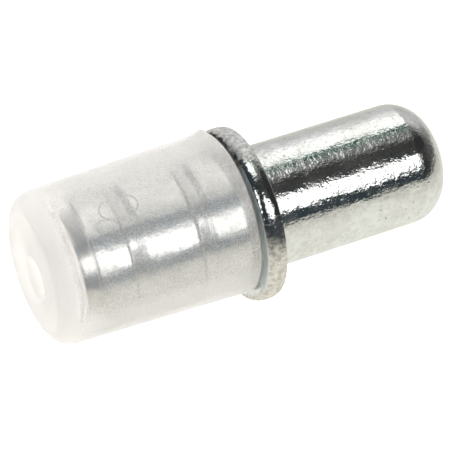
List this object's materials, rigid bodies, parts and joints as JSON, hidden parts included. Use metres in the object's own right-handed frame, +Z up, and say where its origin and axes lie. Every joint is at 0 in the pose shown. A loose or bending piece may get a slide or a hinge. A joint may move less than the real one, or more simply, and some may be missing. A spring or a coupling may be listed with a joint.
{
  "type": "shelf support pin",
  "caption": "Steel shelf support pin: a plain round spigot for a cabinet panel hole, a stop collar, and a stud carrying a translucent plastic sleeve that the shelf rests on.",
  "frame": {"origin": "on the spigot's axis, in the collar's face on the panel side", "axes": "+X along the spigot, from the collar into the panel; +Z up, as the pin sits in use with its axis level"},
  "size_m": [0.0176, 0.0072, 0.0072],
  "materials": {
    "zinc_plated_steel": "bright zinc plating with a fine mottle and light rolling marks",
    "translucent_plastic": "milky translucent moulded plastic, smooth and slightly glossy"
  },
  "bodies": {
    "root": {"pin": "zinc_plated_steel", "sleeve": "translucent_plastic"}
  },
  "joints": []
}
